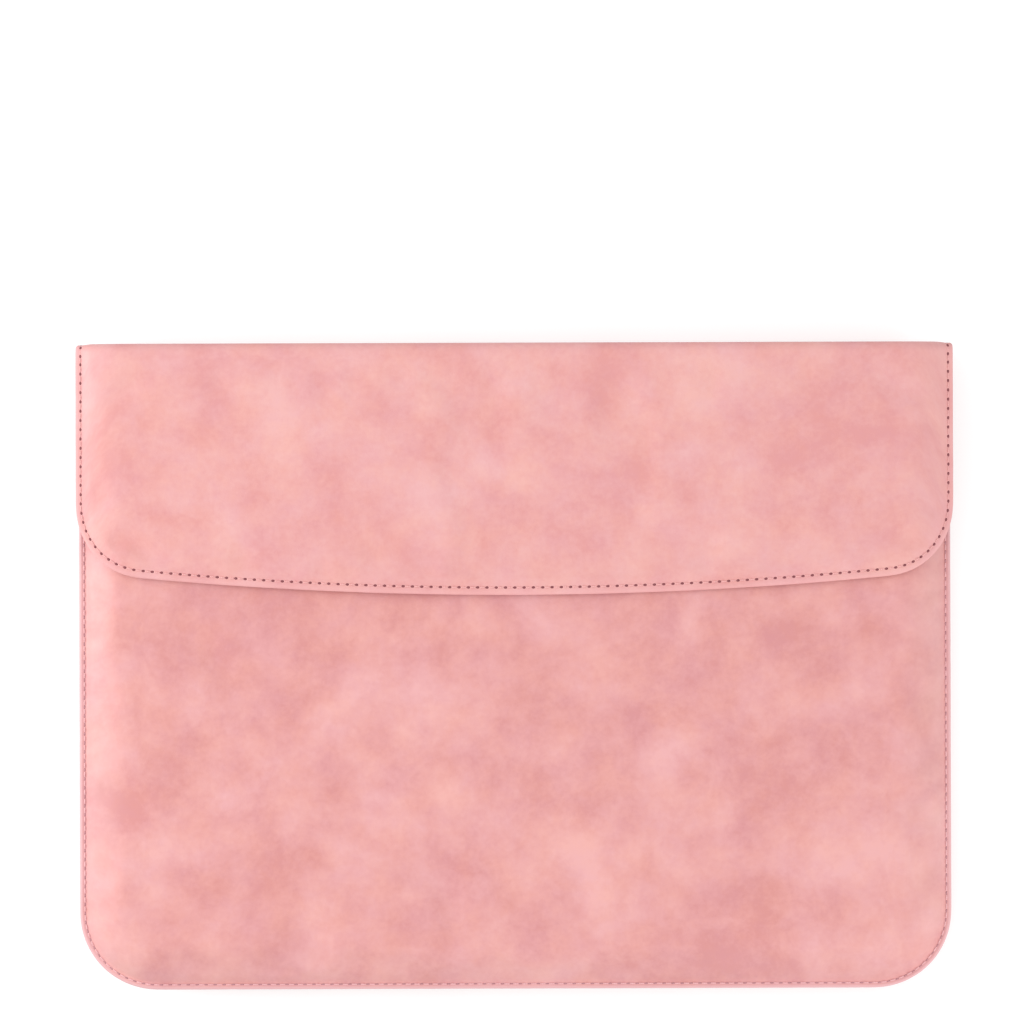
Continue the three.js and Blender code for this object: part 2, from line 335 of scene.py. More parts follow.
class Panel:
    """A flat pattern with straight sides, two rounded lower corners and a lower edge that may be bowed."""

    def __init__(self, half_width, radius, low_y, bow=0.0):
        self.half_width = half_width
        self.radius = radius
        self.low_y = low_y
        self.bow = bow
        self.corner_x = half_width - radius
        self.tilt = math.atan(2 * bow * self.corner_x)
        self.corner_y = self.low_edge(1, radius)[1]

    def low_edge(self, share, inset):
        """The point an inset above the lower edge, at a share of the way from its middle to a corner."""
        lean = self.tilt * share
        x = share * self.corner_x + self.radius * math.sin(lean)
        y = self.low_y + self.bow * x * x
        return x - inset * math.sin(lean), y + inset * math.cos(lean)

    def corner(self, side, angle, inset):
        """The point an inset inside a rounded corner, at an angle from straight down."""
        reach = self.radius - inset
        return side * (self.corner_x + reach * math.sin(angle)), self.corner_y - reach * math.cos(angle)

    def inset(self, x, v):
        """How far points are in from the nearest edge."""
        from_side = self.half_width - np.abs(x)
        from_low = (v - self.low_y - self.bow * x**2) * np.cos(np.arctan(2 * self.bow * x))
        past_x = np.abs(x) - self.corner_x
        past_y = self.corner_y - v
        rounded = self.radius - np.hypot(past_x, past_y)
        return np.where((past_x > 0) & (past_y > 0), rounded, np.minimum(from_side, from_low))

    def edge_point(self, x, v):
        """The point of the edge that is nearest to each point."""
        past_x = np.abs(x) - self.corner_x
        past_y = self.corner_y - v
        in_corner = (past_x > 0) & (past_y > 0)
        scale = self.radius / np.maximum(np.hypot(past_x, past_y), MM)
        corner_x = np.sign(x) * (self.corner_x + past_x * scale)
        corner_v = self.corner_y - past_y * scale
        near_side = self.half_width - np.abs(x) < v - self.low_y
        edge_x = np.where(near_side, np.sign(x) * self.half_width, x)
        edge_v = np.where(near_side, v, self.low_y)
        return np.where(in_corner, corner_x, edge_x), np.where(in_corner, corner_v, edge_v)

    def outline(self, low_inset, side_inset, end_v):
        """A fine line round the sides and the lower edge, inside them by the insets."""
        arc = [(angle, side_inset + (low_inset - side_inset) * share) for angle, share in
               zip(np.linspace(math.pi / 2, self.tilt, OUTLINE_STEPS), np.linspace(0, 1, OUTLINE_STEPS))]
        points = [(side_inset - self.half_width, end_v)]
        points += [self.corner(-1, angle, inset) for angle, inset in arc]
        points += [self.low_edge(share, low_inset) for share in np.linspace(-1, 1, 2 * OUTLINE_STEPS)[1:-1]]
        points += [self.corner(1, angle, inset) for angle, inset in reversed(arc)]
        return points + [(self.half_width - side_inset, end_v)]

    def flat_area(self, end_v):
        """Area of the pattern up to end_v."""
        height = end_v - self.low_y
        corners = 2 * (1 - math.pi / 4) * self.radius**2
        under_bow = self.bow * (2 * self.half_width) ** 3 / 12
        return 2 * self.half_width * height - corners - under_bow

    def draw(self, name, end_v, pitch, tail=None):
        """A mesh of the pattern, up to end_v and then along the values of V that tail gives for each X."""
        rings = [ring for ring in RINGS if ring < 0.9 * self.radius] + [self.radius]
        if pitch > PITCH:
            rings = rings[:-1:3] + [self.radius]
        shares = np.linspace(-1, 1, round(2 * self.corner_x / pitch) + 1)
        angles = np.linspace(self.tilt, math.pi / 2, round(self.radius * math.pi / 2 / pitch) + 1)
        heights = np.linspace(0, 1, round((end_v - self.corner_y) / pitch) + 1)
        drawing = bmesh.new()
        add_grid(drawing, [[self.low_edge(share, ring) for share in shares] for ring in rings])
        for side in (-1, 1):
            corner = [[self.corner(side, angle, ring) for ring in rings] for angle in angles]
            add_grid(drawing, corner, flip=side > 0)
        feet = [(ring - self.half_width, self.corner_y) for ring in rings[:-1]]
        feet += [self.low_edge(share, self.radius) for share in shares]
        feet += [(self.half_width - ring, self.corner_y) for ring in rings[-2::-1]]
        columns = []
        for x, foot in feet:
            column = [(x, foot + height * (end_v - foot)) for height in heights]
            columns.append(column + [(x, v) for v in (tail(x) if tail else [])])
        add_grid(drawing, list(zip(*columns)))
        bmesh.ops.remove_doubles(drawing, verts=drawing.verts, dist=WELD)
        return show_drawing(drawing, name)


BODY = Panel(HALF_WIDTH, CORNER_RADIUS, BOTTOM_Y)
FLAP = Panel(HALF_WIDTH, FLAP_RADIUS, FLAP_EDGE_Y, FLAP_BOW)
POCKET = Panel(HALF_WIDTH - LINING_INSET, CORNER_RADIUS - LINING_INSET, BOTTOM_Y + LINING_INSET)
FLAP_INSIDE = Panel(HALF_WIDTH - FREE_INSET, FLAP_RADIUS - FREE_INSET, FLAP_EDGE_Y + FREE_INSET, FLAP_BOW)
FREE_STRETCH = (HALF_WIDTH - FREE_INSET) / POCKET.half_width  # of the back's lining past the mouth


# Sections


def slope(inset, start, width, top):
    """Height above the seam plane at an inset, up a rounded slope to the panel's flat face."""
    share = np.clip((inset - start) / width, 0, 1)
    rise = (1 - (1 - share) ** SLOPE_ROUNDNESS) ** (1 / SLOPE_ROUNDNESS)
    return SEAM_GAP + (top - SEAM_GAP) * rise


def rounded_edge(inset, radius):
    """How far a cut edge that is rounded over lies below the leather's face."""
    return radius - np.sqrt(np.maximum(0, radius**2 - np.maximum(0, radius - inset) ** 2))


def cover_height(inset):
    """Height of the leather above or below the seam plane."""
    rim = SEAM_GAP + LEATHER
    slope_height = slope(inset, RIM_WIDTH - SLOPE_OVERLAP, SLOPE_WIDTH + SLOPE_OVERLAP, SEAM_Z)
    return np.maximum(rim, slope_height) - rounded_edge(inset, BODY_EDGE_ROUNDING)


def lining_height(inset):
    """Height of a lining's face above or below the seam plane."""
    return slope(inset, LINING_INSET, LINING_SLOPE, POCKET_HALF)


def curl(x):
    """How far the flap's sides bend down."""
    return FLAP_CURL * (np.maximum(0, np.abs(x) - HALF_WIDTH + CURL_WIDTH) / CURL_WIDTH) ** 2


def back_z(x):
    return SEAM_Z - cover_height(HALF_WIDTH - np.abs(x))


def flap_z(x):
    return FLAP_TOP - curl(x)


def free_lining_z(x):
    """Height of the back's lining past the mouth, where it covers the rim up to its edge."""
    inset = HALF_WIDTH - np.abs(x)
    over_rim = RIM_LIFT * (1 - smooth_step((inset - RIM_LIFT_WIDTH) / RIM_LIFT_RUN))
    return SEAM_Z - lining_height(inset) + over_rim


def mouth_pinch(inset, y, depth):
    """How far a layer of the front comes to its neighbours towards the sewn edge of the mouth."""
    towards_mouth = smooth_step((y - (MOUTH_Y - PINCH_REACH)) / PINCH_RUN)
    return depth * towards_mouth * smooth_step((inset - RIM_WIDTH) / PINCH_SIDE_RUN)


def sewn_share(inset):
    """1 at a sewn edge, falling to 0 where the layers part."""
    return 1 - smooth_step((inset - SEWN_WIDTH) / PARTING_RUN)


def closing(inset, v):
    """How far the leather and the lining of the flap each come towards the other at the sewn edge."""
    flat_share = smooth_step((FOLD_Y - v) / FOLD_RADIUS)
    depth = FOLD_CLOSING + (FLAP_CLOSING - FOLD_CLOSING) * flat_share
    return depth * sewn_share(inset)


# The fold


def fold_over(v, base_z, direction, fold_y, radius):
    """Y and Z of a sheet that bends from flat to upright at the fold, up (1) or down (-1)."""
    past = np.maximum(0, v - (fold_y - radius))
    angle = np.minimum(past / radius, math.pi / 2)
    run = np.maximum(0, past - radius * math.pi / 2)
    y = np.minimum(v, fold_y - radius) + radius * np.sin(angle)
    return y, base_z + direction * (radius * (1 - np.cos(angle)) + run)


def fold_tail(fold_y, radius, run):
    """The values of V round the fold and on to the middle of the spine."""
    start = fold_y - radius
    bend = radius * math.pi / 2

    def tail(x):
        length = max(SHORTEST_RUN, float(run(x)))
        around = [start + bend * step / FOLD_STEPS for step in range(1, FOLD_STEPS + 1)]
        return around + [start + bend + length * step / SPINE_STEPS for step in range(1, SPINE_STEPS + 1)]

    return tail


def spine_run(x):
    """Length of the straight part of each half of the spine, between its rounded corner and its middle."""
    return (flap_z(x) - back_z(x)) / 2 - FOLD_RADIUS


def lining_run(x):
    """The same for the back's lining, which is wider there than its pattern."""
    x = x * FREE_STRETCH
    return (back_z(x) + flap_z(x)) / 2 - free_lining_z(x) - LINING_FOLD_RADIUS


def flap_lining_run(x):
    return FLAP_UNDERSIDE - curl(x) - LINING_FOLD_RADIUS - (back_z(x) + flap_z(x)) / 2


def middle_v(x):
    """V of the flap's leather at the middle of the spine."""
    return BLEND_LOW_Y + FOLD_RADIUS * math.pi / 2 + spine_run(x)


def close_spine_ends(piece, inset, v, fold_y, radius, depth):
    """Brings a layer of the back's half of the spine to its neighbour at the sewn ends."""
    upright = smooth_step((v - fold_y + radius) / (radius * math.pi / 2))
    push(piece, -depth(inset) * upright)


# Covers


def settle(piece, loose, pressure, limit):
    """Lets the leather swell and slacken over its padding by a cloth simulation, held where loose is 0."""
    rest = coordinates(piece)
    held = piece.vertex_groups.new(name="held")
    for vertex, share in enumerate(loose):
        held.add([vertex], 1 - float(share), "REPLACE")
    cloth = piece.modifiers.new("cloth", "CLOTH")
    settings = cloth.settings
    settings.quality = 5
    settings.mass = 0.4
    settings.tension_stiffness = settings.compression_stiffness = 60
    settings.shear_stiffness = 40
    settings.bending_stiffness = 30
    settings.vertex_group_mass = "held"
    settings.use_pressure = True
    settings.uniform_pressure_force = pressure
    settings.shrink_min = -0.008
    settings.effector_weights.gravity = 0
    cloth.collision_settings.use_collision = False
    scene = bpy.context.scene
    for step in range(1, CLOTH_STEPS + 1):
        scene.frame_set(step)
    graph = bpy.context.evaluated_depsgraph_get()
    settled = piece.evaluated_get(graph).to_mesh()
    moved = np.zeros(3 * len(rest), np.float32)
    settled.vertices.foreach_get("co", moved)
    piece.modifiers.clear()
    piece.vertex_groups.clear()
    scene.frame_set(1)
    shift = moved.reshape(-1, 3) - rest
    length = np.linalg.norm(shift, axis=1, keepdims=True)
    set_coordinates(piece, rest + shift * np.minimum(1, limit / np.maximum(length, 1e-9)))


def loosely(panel, piece, end_v):
    """1 where the leather may move in the simulation, 0 at its sewn edges."""
    flat = stored(piece, "flat")
    inset = panel.inset(flat[:, 0], flat[:, 1])
    from_end = smooth_step((end_v - flat[:, 1]) / LOOSE_END_RUN)
    return smooth_step((inset - HELD_WIDTH) / LOOSE_RUN) * from_end


def finish_cover(piece, panel, low_stitch, side_stitch, seed, swell):
    """Adds what the sewing and the padding do to the leather: a sunk row, puckers and soft unevenness."""
    flat = stored(piece, "flat")
    x, v = flat[:, 0], flat[:, 1]
    inset = panel.inset(x, v)
    away_from_fold = smooth_step((BLEND_LOW_Y - CALM_FOLD - v) / CALM_RUN)
    low_share = smooth_step((panel.corner_y - v) / panel.radius)
    stitch_inset = side_stitch + (low_stitch - side_stitch) * low_share
    groove = -GROOVE_DEPTH * ridge(inset - stitch_inset, GROOVE_WIDTH)
    edge_x, edge_v = panel.edge_point(x, v)
    edge = np.stack([edge_x, edge_v, np.zeros(len(x))], axis=1)
    puckers = PUCKER_DEPTH * uneven(edge, PUCKER_LENGTH, seed) * ridge(inset - PUCKER_INSET, PUCKER_WIDTH)
    waves = swell * uneven(flat, BROAD_WAVE, seed + 7)
    waves = waves + SMALL_WAVE_SHARE * swell * uneven(flat, SMALL_WAVE, seed + 13)
    waves *= smooth_step((inset - WAVE_START) / WAVE_RUN)
    push(piece, groove + (puckers + waves) * away_from_fold)
    store(piece, "rim", 1 - smooth_step((inset - RIM_TONE_START) / stitch_inset))
    # Mask of real wear, which makes the leather shinier, and of a painted highlight, which makes it lighter,
    # on the padded slopes
    wear_and_painted_highlight_mask = smooth_step((inset - WEAR_AND_HIGHLIGHT_START) / WEAR_AND_HIGHLIGHT_RISE)
    wear_and_painted_highlight_mask = wear_and_painted_highlight_mask * (1 - smooth_step((inset - WEAR_AND_HIGHLIGHT_FADE_START) / WEAR_AND_HIGHLIGHT_FADE))
    at_sides = BOTTOM_WEAR_AND_HIGHLIGHT + (1 - BOTTOM_WEAR_AND_HIGHLIGHT) * smooth_step((v - panel.low_y) / (3 * panel.radius))
    store(piece, "wear_and_painted_highlight", wear_and_painted_highlight_mask * at_sides)


def make_front_cover():
    piece = BODY.draw("front_cover", MOUTH_Y, PITCH)

    def position(x, v):
        inset = BODY.inset(x, v)
        height = cover_height(inset) - mouth_pinch(inset, v, COVER_PINCH)
        return x, v, SEAM_Z + height

    place(piece, position)
    settle(piece, loosely(BODY, piece, MOUTH_Y - MOUTH_HELD), pressure=2, limit=0.9 * MM)
    refine(piece)
    finish_cover(piece, BODY, SEAM_STITCH_INSET, SEAM_STITCH_INSET, seed=3, swell=0.3 * MM)
    store_grain(piece, part=0.4)
    return piece


def make_back_cover():
    """The back's leather, round the fold and up to the middle of the spine. It lies flat on the table."""
    piece = BODY.draw("back_cover", BLEND_LOW_Y, PITCH, fold_tail(FOLD_Y, FOLD_RADIUS, spine_run))

    def position(x, v):
        return x, *fold_over(v, SEAM_Z - cover_height(BODY.inset(x, v)), 1, FOLD_Y, FOLD_RADIUS)

    def depth(inset):
        return FOLD_CLOSING * sewn_share(inset) + rounded_edge(inset, FLAP_EDGE_ROUNDING)

    place(piece, position, flip=True)
    x, v, _ = stored(piece, "flat").T
    close_spine_ends(piece, BODY.inset(x, v), v, FOLD_Y, FOLD_RADIUS, depth)
    refine(piece)
    finish_cover(piece, BODY, SEAM_STITCH_INSET, SEAM_STITCH_INSET, seed=21, swell=0.25 * MM)
    points = coordinates(piece)
    points[:, 2] = np.maximum(points[:, 2], 0)
    set_coordinates(piece, points)
    store_grain(piece, part=0)
    return piece


def make_flap_cover():
    """The flap's leather, round the fold and down to the middle of the spine, where it meets the back's."""
    piece = FLAP.draw("flap_cover", BLEND_LOW_Y, PITCH, fold_tail(FOLD_Y, FOLD_RADIUS, spine_run))
    place(piece, lambda x, v: (x, *fold_over(v, flap_z(x), -1, FOLD_Y, FOLD_RADIUS)))
    x, v, _ = stored(piece, "flat").T
    inset = FLAP.inset(x, v)
    push(piece, -closing(inset, v) - rounded_edge(inset, FLAP_EDGE_ROUNDING))
    points = coordinates(piece)
    points[:, 0] = x
    set_coordinates(piece, points)
    settle(piece, loosely(FLAP, piece, BLEND_LOW_Y - FOLD_HELD), pressure=0.6, limit=0.4 * MM)
    refine(piece)
    finish_cover(piece, FLAP, FLAP_STITCH_INSET, FLAP_SIDE_STITCH_INSET, seed=41, swell=0.22 * MM)
    x, v, _ = stored(piece, "flat").T
    # Mask that takes the flap's painted lightness off towards the middle of the spine, where it meets the
    # back's leather
    store(piece, "spine", smooth_step((v - BLEND_LOW_Y) / (middle_v(x) - BLEND_LOW_Y)))
    store_grain(piece, part=0, whole_v=lambda x, v: 2 * middle_v(x) - v)
    return piece


# Inside


def make_front_lining():
    piece = POCKET.draw("front_lining_sheet", FACING_END_Y - NODE_GAP, COARSE_PITCH)
    place(piece, lambda x, v: (x, v, SEAM_Z + lining_height(POCKET.inset(x, v) + LINING_INSET)), flip=True)
    refine(piece)
    store_grain(piece, part=0.9)
    return piece


def make_back_lining():
    """The back's lining, which widens past the mouth and turns up as far as the middle of the spine."""
    tail = fold_tail(LINING_FOLD_Y, LINING_FOLD_RADIUS, lining_run)
    piece = POCKET.draw("back_lining_sheet", LINING_FOLD_Y - LINING_FOLD_RADIUS, COARSE_PITCH, tail)

    def position(x, v):
        free = smooth_step((v - MOUTH_Y + FREE_START) / FREE_RUN)
        sewn_z = SEAM_Z - lining_height(POCKET.inset(x, v) + LINING_INSET)
        x = x * (1 + free * (FREE_STRETCH - 1))
        base = sewn_z + free * (free_lining_z(x) - sewn_z)
        return x, *fold_over(v, base, 1, LINING_FOLD_Y, LINING_FOLD_RADIUS)

    def depth(inset):
        return FOLD_CLOSING * sewn_share(inset)

    place(piece, position)
    x, v, _ = stored(piece, "flat").T
    inset = HALF_WIDTH - np.abs(x * FREE_STRETCH)
    close_spine_ends(piece, inset, v, LINING_FOLD_Y, LINING_FOLD_RADIUS, depth)
    refine(piece)
    store_grain(piece, part=1.3)
    return piece


def make_flap_lining():
    tail = fold_tail(LINING_FOLD_Y, LINING_FOLD_RADIUS, flap_lining_run)
    piece = FLAP_INSIDE.draw("flap_lining_sheet", LINING_FOLD_Y - LINING_FOLD_RADIUS, PITCH, tail)

    def position(x, v):
        return x, *fold_over(v, FLAP_UNDERSIDE - curl(x), -1, LINING_FOLD_Y, LINING_FOLD_RADIUS)

    place(piece, position, flip=True)
    x, v, _ = stored(piece, "flat").T
    push(piece, -closing(FLAP_INSIDE.inset(x, v) + FREE_INSET, v))
    refine(piece)
    store_grain(piece, part=1.7)
    return piece


def make_mouth_facing():
    """The leather strip inside the mouth, which meets the front's leather at the sewn edge."""
    half = HALF_WIDTH - LINING_INSET - FACING_SIDE_GAP
    shares = np.sin(np.linspace(-math.pi / 2, math.pi / 2, FACING_COLUMNS + 1))
    levels = np.linspace(FACING_END_Y, MOUTH_Y, FACING_ROWS + 1)
    drawing = bmesh.new()
    add_grid(drawing, [[(half * share, v) for share in shares] for v in levels])
    piece = show_drawing(drawing, "mouth_facing_strip")

    def position(x, v):
        inset = HALF_WIDTH - np.abs(x)
        return x, v, SEAM_Z + lining_height(inset) + mouth_pinch(inset, v, FACING_PINCH)

    place(piece, position, flip=True)
    refine(piece)
    for name in ("rim", "wear_and_painted_highlight"):
        store(piece, name, np.zeros(len(piece.data.vertices)))
    store_grain(piece, part=0.6)
    return piece


def make_pad(name, node, keepers=()):
    """A sheet of foam with rounded edges, and with pockets for the keeper plates."""
    low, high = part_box(node)
    inset = HALF_WIDTH - high.x
    panel = Panel(high.x, CORNER_RADIUS - inset, low.y)
    piece = panel.draw(name, PAD_END_Y, COARSE_PITCH)

    def position(x, v):
        from_edge = np.minimum(panel.inset(x, v), PAD_END_Y - v)
        drop = PAD_EDGE_DROP * (1 - smooth_step(from_edge / PAD_EDGE_WIDTH))
        return x, v, high.z - PAD_ROOM - drop

    place(piece, position)
    store_grain(piece, part=2.1)
    thicken(piece, high.z - low.z - PAD_THINNING)
    for keeper in keepers:
        keeper_low, keeper_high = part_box(keeper)
        radius = (keeper_high.x - keeper_low.x) / 2 + KEEPER_PLAY
        centre = (keeper_low + keeper_high) / 2
        bpy.ops.mesh.primitive_cylinder_add(radius=radius, depth=CUTTER_DEPTH, vertices=48, location=centre)
        cutter = bpy.context.object
        cut = piece.modifiers.new("pocket", "BOOLEAN")
        cut.operation = "DIFFERENCE"
        cut.object = cutter
        bake(piece)
        bpy.data.objects.remove(cutter)
    return piece


# Stitching


class Surface:
    """Finds the point and the direction outwards of a finished cover at places of its flat pattern."""

    def __init__(self, piece):
        self.flat = [Vector(point) for point in stored(piece, "flat")]
        self.faces = [list(face.vertices) for face in piece.data.polygons]
        self.tree = bvhtree.BVHTree.FromPolygons(self.flat, self.faces)
        self.points = coordinates(piece)
        self.normals = normals(piece)

    def at(self, x, v):
        found, _, face, _ = self.tree.find_nearest((x, v, 0))
        corners = self.faces[face]
        weights = np.array(interpolate.poly_3d_calc([self.flat[corner] for corner in corners], found))
        return Vector(weights @ self.points[corners]), Vector(weights @ self.normals[corners]).normalized()


def spaced(line, pitch):
    """Points about a pitch apart along a line, from its start to its end."""
    line = np.array(line)
    travelled = np.concatenate([[0], np.cumsum(np.linalg.norm(np.diff(line, axis=0), axis=1))])
    count = round(travelled[-1] / pitch)
    stops = np.linspace(0, travelled[-1], count + 1)
    return [(np.interp(stop, travelled, line[:, 0]), np.interp(stop, travelled, line[:, 1]))
            for stop in stops]


def show_stitching(name, vertices, faces, grain):
    mesh = bpy.data.meshes.new(name)
    mesh.from_pydata(vertices, [], faces)
    mesh.shade_smooth()
    piece = show(mesh)
    store(piece, "grain", np.array(grain))
    return piece


def make_threads(name, places):
    """One short thread between each two needle holes, with its ends sunk into them."""
    vertices, faces, grain = [], [], []
    for number, ((start, facing), (end, next_facing)) in enumerate(zip(places, places[1:])):
        up = (facing + next_facing).normalized()
        across = (end - start).cross(up).normalized()
        first = len(vertices)
        for share, lift, width in THREAD_PROFILE:
            centre = start.lerp(end, share) + up * lift
            for side in range(THREAD_SIDES):
                angle = 2 * math.pi * side / THREAD_SIDES
                reach = THREAD_RADIUS * width
                vertices.append(centre + reach * (math.cos(angle) * across + math.sin(angle) * up))
                grain.append((number + share, side / THREAD_SIDES, number % 7))
        for ring in range(len(THREAD_PROFILE) - 1):
            for side in range(THREAD_SIDES):
                a = first + ring * THREAD_SIDES + side
                b = first + ring * THREAD_SIDES + (side + 1) % THREAD_SIDES
                faces.append((a, b, b + THREAD_SIDES, a + THREAD_SIDES))
        last = first + (len(THREAD_PROFILE) - 1) * THREAD_SIDES
        faces.append([first + side for side in reversed(range(THREAD_SIDES))])
        faces.append([last + side for side in range(THREAD_SIDES)])
    return show_stitching(name, vertices, faces, grain)


def make_holes(name, places, size):
    """The needle holes: a small sunk lens at each, with one measure along the row and one across it, painted
    dark as the shade inside the hole.
    """
    length, width = size
    vertices, faces, grain = [], [], []
    for number, (centre, facing) in enumerate(places):
        ahead = places[min(number + 1, len(places) - 1)][0] - places[max(number - 1, 0)][0]
        along = (ahead - facing * ahead.dot(facing)).normalized()
        across = facing.cross(along)
        first = len(vertices)
        for side in range(HOLE_SIDES):
            angle = 2 * math.pi * side / HOLE_SIDES
            spread = math.cos(angle) * length / 2 * along + math.sin(angle) * width / 2 * across
            vertices.append(centre + spread + facing * HOLE_LIP)
            grain.append((number, side / HOLE_SIDES, 1))
        vertices.append(centre + facing * HOLE_DISH)
        vertices.append(centre - facing * HOLE_DEPTH)
        grain += [(number, 0, 0), (number, 0, 1)]
        top = first + HOLE_SIDES
        bottom = top + 1
        for side in range(HOLE_SIDES):
            a, b = first + side, first + (side + 1) % HOLE_SIDES
            faces += [(a, b, top), (b, a, bottom)]
    return show_stitching(name, vertices, faces, grain)


def sew(row, surface, line, pitch, hole_size):
    """The threads and the needle holes of one row of stitches on a cover."""
    places = [surface.at(x, v) for x, v in spaced(line, pitch)]
    return make_threads(f"{row}_stitches", places), make_holes(f"{row}_stitch_holes_painted_shade", places, hole_size)


# Materials


def srgb(red, green, blue):
    """A colour from 0-255 display values."""
    shares = [value / 255 for value in (red, green, blue)]
    return (*[s / 12.92 if s <= 0.04045 else ((s + 0.055) / 1.055) ** 2.4 for s in shares], 1)


BODY_TONES = (srgb(208, 143, 143), srgb(218, 156, 155), srgb(226, 169, 168))
# The flap's tones are the body's leather painted a little lighter: painted light on the flap, which the light
# falls on more
FLAP_TONES_PAINTED_LIGHTER = (srgb(216, 151, 151), srgb(222, 162, 161), srgb(227, 173, 171))
COOL_HUE = srgb(252, 252, 255)
WARM_HUE = srgb(255, 253, 246)
HUE_OFFSET = (0.31, 0.17, 0.5)  # takes the shifts of hue from another part of the noise than the clouds
# The spine tint takes the flap's painted lightness off again, where the flap's leather meets the back's
SPINE_TINT = (0.96, 0.92, 0.93, 1)  # brings the flap's leather to the back's where the two meet


class Finish:
    """A material that is put together from nodes."""

    def __init__(self, name):
        self.material = bpy.data.materials.new(name)
        self.material.use_nodes = True
        self.tree = self.material.node_tree
        self.shader = self.tree.nodes["Principled BSDF"]

    def add(self, kind, inputs, **settings):
        node = self.tree.nodes.new(kind)
        for key, value in settings.items():
            setattr(node, key, value)
        for key, value in inputs.items():
            self.set(node, key, value)
        return node

    def set(self, node, key, value):
        if isinstance(value, bpy.types.NodeSocket):
            self.tree.links.new(value, node.inputs[key])
        else:
            node.inputs[key].default_value = value

    def attribute(self, name):
        return self.add("ShaderNodeAttribute", {}, attribute_name=name)

    def noise(self, where, size, detail=3.0, rough=0.55, warp=0.0):
        """Noise from about 0 to 1 with features of a size."""
        inputs = {"Vector": where, "Scale": 1 / size, "Detail": detail}
        inputs |= {"Roughness": rough, "Distortion": warp}
        return self.add("ShaderNodeTexNoise", inputs).outputs["Fac"]

    def math(self, operation, a, b, c=0.0):
        return self.add("ShaderNodeMath", {0: a, 1: b, 2: c}, operation=operation).outputs[0]

    def span(self, value, low, high, new_low=0.0, new_high=1.0):
        """A value stretched from one range to another, and clamped to it."""
        inputs = {"Value": value, "From Min": low, "From Max": high, "To Min": new_low, "To Max": new_high}
        return self.add("ShaderNodeMapRange", inputs).outputs["Result"]

    def blend(self, share, a, b, kind="MIX"):
        node = self.add("ShaderNodeMix", {"Factor": share}, data_type="RGBA", blend_type=kind)
        self.set(node, 6, a)
        self.set(node, 7, b)
        return node.outputs[2]

    def bump(self, height, depth, under=None):
        inputs = {"Height": height, "Distance": depth, "Strength": 1.0}
        if under is not None:
            inputs["Normal"] = under
        return self.add("ShaderNodeBump", inputs).outputs["Normal"]

    def surface(self, **values):
        for key, value in values.items():
            self.set(self.shader, key.replace("_", " "), value)


def leather_finish(name, tones, rim_colour, rim_share, wear_and_painted_highlight_colour, mottle, spine_tint=None):
    """Suede-look leather: soft clouds of lighter and darker pink over a fine matte grain.

    The tones are the clouds' dark, middle and light, and mottle is how much fine blotches change them."""
    finish = Finish(name)
    where = finish.attribute("grain").outputs["Vector"]
    broad = finish.noise(where, size=52 * MM, detail=5, rough=0.62, warp=0.35)
    patches = finish.noise(where, size=21 * MM, detail=4, rough=0.6, warp=0.2)
    fine = finish.noise(where, size=2.2 * MM, detail=4, rough=0.7)
    clouds = finish.math("MULTIPLY_ADD", patches, 0.46, finish.math("MULTIPLY", broad, 0.54))
    clouds = finish.math("MULTIPLY_ADD", finish.math("SUBTRACT", fine, 0.5), mottle, clouds)
    dark, middle, light = tones
    darker = finish.blend(finish.span(clouds, 0.39, 0.5), dark, middle)
    colour = finish.blend(finish.span(clouds, 0.5, 0.63), darker, light)

    elsewhere = finish.add("ShaderNodeVectorMath", {0: where, 1: HUE_OFFSET}).outputs[0]
    hue = finish.noise(elsewhere, size=16 * MM, detail=5, rough=0.68)
    tint = finish.blend(finish.span(hue, 0.36, 0.64), COOL_HUE, WARM_HUE)
    colour = finish.blend(1.0, colour, tint, "MULTIPLY")
    # Takes the flap's painted lightness off towards the middle of the spine
    if spine_tint:
        colour = finish.blend(finish.attribute("spine").outputs["Fac"], colour, spine_tint, "MULTIPLY")

    # Worn leather is shinier, and it is also painted lighter here: a painted highlight on the slopes
    wear_and_painted_highlight = finish.attribute("wear_and_painted_highlight").outputs["Fac"]
    wear_and_painted_highlight_share = finish.math("MULTIPLY", wear_and_painted_highlight, finish.span(patches, 0.3, 0.6, 0.1, 0.4))
    colour = finish.blend(wear_and_painted_highlight_share, colour, wear_and_painted_highlight_colour)
    rim = finish.math("MULTIPLY", finish.attribute("rim").outputs["Fac"], rim_share)
    colour = finish.blend(rim, colour, rim_colour)

    grain = finish.noise(where, size=0.7 * MM, detail=3, rough=0.6)
    wrinkles = finish.noise(where, size=6 * MM, detail=4, rough=0.65, warp=0.6)
    relief = finish.bump(grain, 0.05 * MM, finish.bump(wrinkles, 0.08 * MM))
    roughness = finish.math("MULTIPLY_ADD", wear_and_painted_highlight, -0.24, finish.span(clouds, 0.4, 0.62, 0.84, 0.72))
    finish.surface(Base_Color=colour, Roughness=roughness, Normal=relief,
                   Specular_IOR_Level=finish.span(wear_and_painted_highlight, 0, 1, 0.22, 0.6),
                   Sheen_Weight=0.1, Sheen_Roughness=0.5)
    return finish.material


